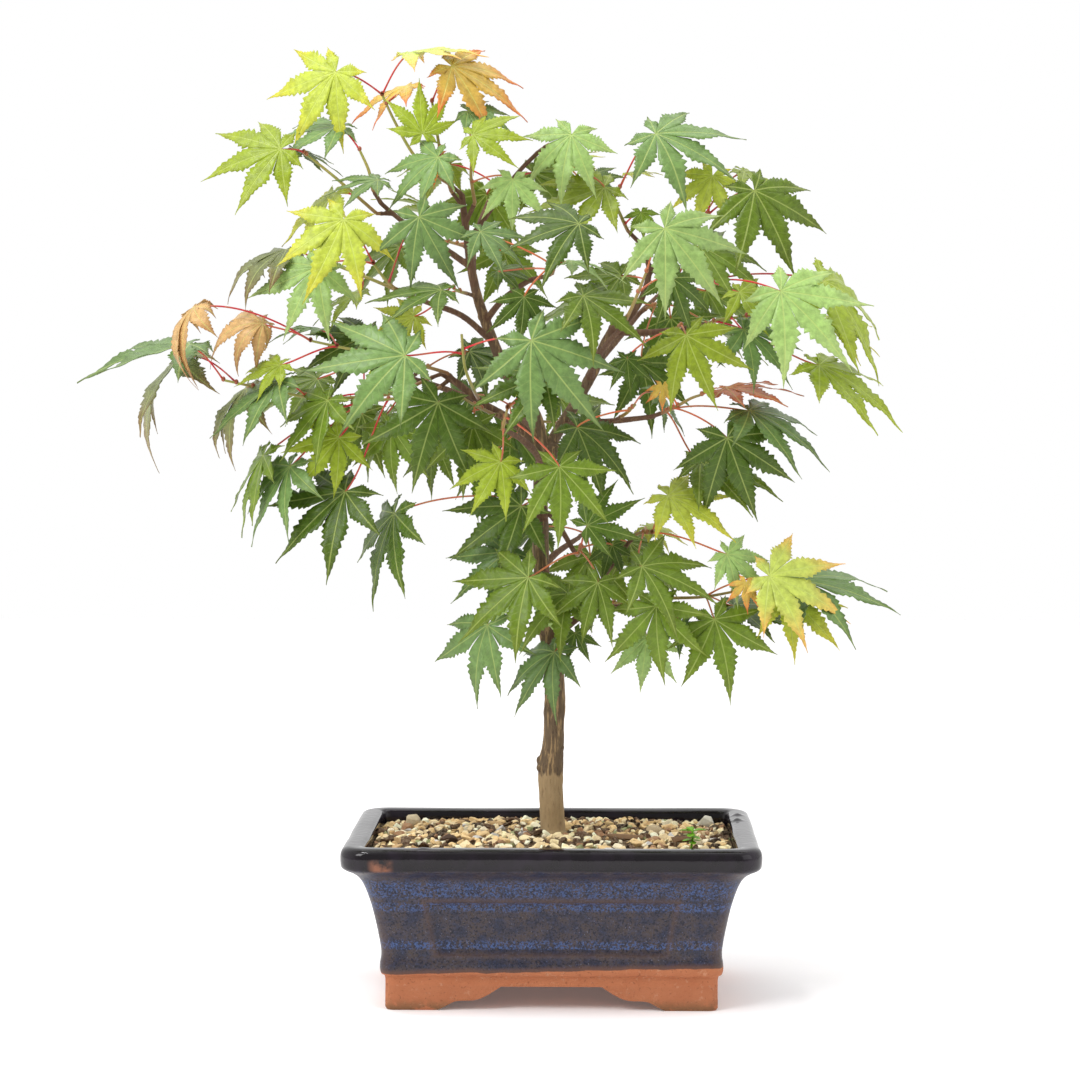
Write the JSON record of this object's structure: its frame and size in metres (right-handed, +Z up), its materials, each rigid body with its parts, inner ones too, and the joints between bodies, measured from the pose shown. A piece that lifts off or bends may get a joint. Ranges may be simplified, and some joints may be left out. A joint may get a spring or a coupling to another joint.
{
  "type": "bonsai maple in a pot",
  "caption": "Young maple bonsai with drooping palmate leaves on thin shoots, rooted in gritty soil in a rectangular footed pot with a dark blue glaze and a bare clay foot.",
  "frame": {"origin": "middle of the whole object's plan, on the plane the pot's feet stand on", "axes": "+Z up along the trunk, +X to the right along the pot's long side, -Y the front"},
  "size_m": [0.4078, 0.1996, 0.4645],
  "materials": {
    "glazed_pot": "gloss",
    "soil": "matte",
    "screen": "matte",
    "bark": "matte",
    "seedling": "satin",
    "pale_stone": "matte",
    "tan_stone": "matte",
    "bark_chip": "matte",
    "leaves_lime": "satin",
    "leaves_fresh": "satin",
    "leaves_green": "satin",
    "leaves_deep": "satin",
    "leaves_sheen": "satin",
    "leaves_pale": "satin",
    "leaves_dried": "satin"
  },
  "bodies": {
    "root": {"pot": "glazed_pot", "soil": "soil", "drain_screen_left": "screen", "drain_screen_right": "screen", "trunk_and_branches": "bark", "seedling": "seedling", "white_stone": "pale_stone", "pale_stone_back": "pale_stone", "tan_rod_stone": "tan_stone", "cream_stone_left": "tan_stone", "cream_stone_front": "tan_stone", "buff_stone_right": "tan_stone", "bark_chip_long": "bark_chip", "bark_chip_short": "bark_chip", "bark_chip_left": "bark_chip", "spray_top_tip": "leaves_lime", "spray_top_second": "leaves_lime", "spray_top_centre": "leaves_sheen", "spray_top_right": "leaves_sheen", "spray_left_up_tip": "leaves_sheen", "spray_left_up_side": "leaves_lime", "spray_left_mid_tip": "leaves_lime", "spray_left_mid_long": "leaves_dried", "spray_long_left": "leaves_sheen", "spray_upper_left": "leaves_dried", "spray_left_under": "leaves_green", "spray_left_front": "leaves_sheen", "spray_left_dark": "leaves_deep", "spray_left_inner": "leaves_deep", "spray_front_low": "leaves_deep", "spray_mid_left": "leaves_deep", "spray_mid_right": "leaves_green", "spray_mid_right_out": "leaves_fresh", "spray_lower_tip": "leaves_lime", "spray_lower_mid": "leaves_green", "spray_lower_left": "leaves_pale", "spray_trunk_low": "leaves_sheen", "spray_right_low_tip": "leaves_deep", "spray_right_low_mid": "leaves_deep", "spray_right_out_tip": "leaves_fresh", "spray_right_out_mid": "leaves_fresh", "spray_right_far": "leaves_fresh", "spray_right_up_tip": "leaves_sheen", "spray_right_up_out": "leaves_green", "spray_right_front": "leaves_pale", "spray_centre_front": "leaves_deep", "spray_top_back_tip": "leaves_green", "spray_top_back_mid": "leaves_green", "spray_back_low_tip": "leaves_deep", "spray_back_low_mid": "leaves_deep", "spray_right_back_tip": "leaves_green", "spray_right_back_mid": "leaves_green", "spray_left_back_tip": "leaves_green", "spray_left_back_mid": "leaves_deep", "spray_lower_back": "leaves_deep"}
  },
  "joints": []
}
